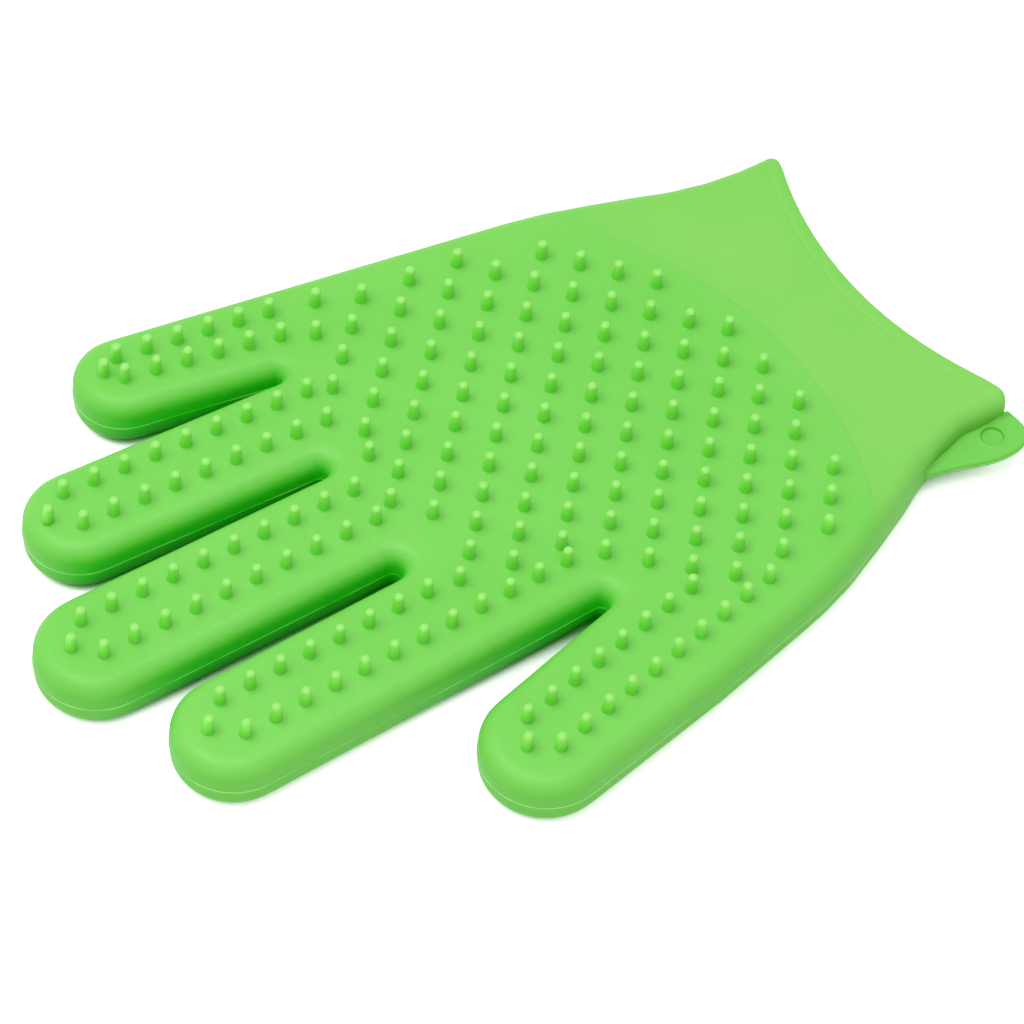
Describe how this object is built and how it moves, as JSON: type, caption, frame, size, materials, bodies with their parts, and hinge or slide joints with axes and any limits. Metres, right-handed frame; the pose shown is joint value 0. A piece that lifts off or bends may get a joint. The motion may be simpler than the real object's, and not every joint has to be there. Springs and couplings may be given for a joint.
{
  "type": "grooming glove",
  "caption": "Five-finger silicone pet grooming glove with rows of soft nubs on the palm side, a plain cuff and a hang tab.",
  "frame": {"origin": "on the back panel's outer face at its flat part near the wrist, 10 mm in from the wrist edge and on the line of the middle finger", "axes": "+Y from the wrist towards the middle fingertip, +Z out of the nubbed side, thumb on -X; the glove rests flat on z = 0"},
  "size_m": [0.1867, 0.2659, 0.0223],
  "materials": {
    "silicone_front": "satin",
    "silicone_cuff": "satin",
    "silicone_back": "satin",
    "silicone_tab": "satin"
  },
  "bodies": {
    "palm": {"palm_front": "silicone_front", "palm_back": "silicone_back"},
    "cuff": {"cuff_front": "silicone_cuff", "cuff_back": "silicone_back"},
    "hang_tab": {"hang_tab": "silicone_tab"},
    "index_root": {"index_root_front": "silicone_front", "index_root_back": "silicone_back"},
    "index_middle": {"index_middle_front": "silicone_front", "index_middle_back": "silicone_back"},
    "index_tip": {"index_tip_front": "silicone_front", "index_tip_back": "silicone_back"},
    "middle_root": {"middle_root_front": "silicone_front", "middle_root_back": "silicone_back"},
    "middle_middle": {"middle_middle_front": "silicone_front", "middle_middle_back": "silicone_back"},
    "middle_tip": {"middle_tip_front": "silicone_front", "middle_tip_back": "silicone_back"},
    "ring_root": {"ring_root_front": "silicone_front", "ring_root_back": "silicone_back"},
    "ring_middle": {"ring_middle_front": "silicone_front", "ring_middle_back": "silicone_back"},
    "ring_tip": {"ring_tip_front": "silicone_front", "ring_tip_back": "silicone_back"},
    "little_root": {"little_root_front": "silicone_front", "little_root_back": "silicone_back"},
    "little_tip": {"little_tip_front": "silicone_front", "little_tip_back": "silicone_back"},
    "thumb_root": {"thumb_root_front": "silicone_front", "thumb_root_back": "silicone_back"},
    "thumb_tip": {"thumb_tip_front": "silicone_front", "thumb_tip_back": "silicone_back"}
  },
  "joints": [
    {"name": "wrist_flex", "type": "hinge", "parent": "palm", "child": "cuff", "pos_m": [0, 0.019, 0.0162], "axis": [-1, 0, 0], "range_deg": [-20, 40], "stiffness_Nm_per_rad": 0.06},
    {"name": "tab_flex", "type": "hinge", "parent": "cuff", "child": "hang_tab", "pos_m": [-0.0549, -0.0102, 0.0081], "axis": [-0.2545, 0.9671, 0], "range_deg": [-45, 45], "stiffness_Nm_per_rad": 0.004},
    {"name": "index_knuckle", "type": "hinge", "parent": "palm", "child": "index_root", "pos_m": [-0.03954, 0.1541, 0.0162], "axis": [1, 0, 0], "range_deg": [-10, 45], "stiffness_Nm_per_rad": 0.03},
    {"name": "index_mid", "type": "hinge", "parent": "index_root", "child": "index_middle", "pos_m": [-0.04061, 0.1721, 0.0162], "axis": [1, 0, 0], "range_deg": [-10, 45], "stiffness_Nm_per_rad": 0.03},
    {"name": "index_end", "type": "hinge", "parent": "index_middle", "child": "index_tip", "pos_m": [-0.04168, 0.1902, 0.0162], "axis": [1, 0, 0], "range_deg": [-7, 31], "stiffness_Nm_per_rad": 0.03},
    {"name": "middle_knuckle", "type": "hinge", "parent": "palm", "child": "middle_root", "pos_m": [-0.00086, 0.1546, 0.0162], "axis": [1, 0, 0], "range_deg": [-10, 45], "stiffness_Nm_per_rad": 0.03},
    {"name": "middle_mid", "type": "hinge", "parent": "middle_root", "child": "middle_middle", "pos_m": [-0.00171, 0.1818, 0.0162], "axis": [1, 0, 0], "range_deg": [-10, 45], "stiffness_Nm_per_rad": 0.03},
    {"name": "middle_end", "type": "hinge", "parent": "middle_middle", "child": "middle_tip", "pos_m": [-0.00257, 0.209, 0.0162], "axis": [1, 0, 0], "range_deg": [-7, 31], "stiffness_Nm_per_rad": 0.03},
    {"name": "ring_knuckle", "type": "hinge", "parent": "palm", "child": "ring_root", "pos_m": [0.0346, 0.1494, 0.0162], "axis": [1, 0, 0], "range_deg": [-10, 45], "stiffness_Nm_per_rad": 0.03},
    {"name": "ring_mid", "type": "hinge", "parent": "ring_root", "child": "ring_middle", "pos_m": [0.03497, 0.1673, 0.0162], "axis": [1, 0, 0], "range_deg": [-10, 45], "stiffness_Nm_per_rad": 0.03},
    {"name": "ring_end", "type": "hinge", "parent": "ring_middle", "child": "ring_tip", "pos_m": [0.03553, 0.1941, 0.0162], "axis": [1, 0, 0], "range_deg": [-7, 31], "stiffness_Nm_per_rad": 0.03},
    {"name": "little_knuckle", "type": "hinge", "parent": "palm", "child": "little_root", "pos_m": [0.06634, 0.1451, 0.0162], "axis": [1, 0, 0], "range_deg": [-10, 45], "stiffness_Nm_per_rad": 0.025},
    {"name": "little_mid", "type": "hinge", "parent": "little_root", "child": "little_tip", "pos_m": [0.06912, 0.1621, 0.0162], "axis": [1, 0, 0], "range_deg": [-10, 45], "stiffness_Nm_per_rad": 0.025},
    {"name": "thumb_knuckle", "type": "hinge", "parent": "palm", "child": "thumb_root", "pos_m": [-0.07569, 0.10049, 0.0162], "axis": [0.9703, 0.2419, 0], "range_deg": [-10, 45], "stiffness_Nm_per_rad": 0.03},
    {"name": "thumb_end", "type": "hinge", "parent": "thumb_root", "child": "thumb_tip", "pos_m": [-0.08186, 0.12524, 0.0162], "axis": [0.9703, 0.2419, 0], "range_deg": [-10, 45], "stiffness_Nm_per_rad": 0.03}
  ],
  "couplings": [
    {"joint": "index_end", "follows": "index_mid", "ratio": 0.6667},
    {"joint": "middle_end", "follows": "middle_mid", "ratio": 0.6667},
    {"joint": "ring_end", "follows": "ring_mid", "ratio": 0.6667}
  ]
}
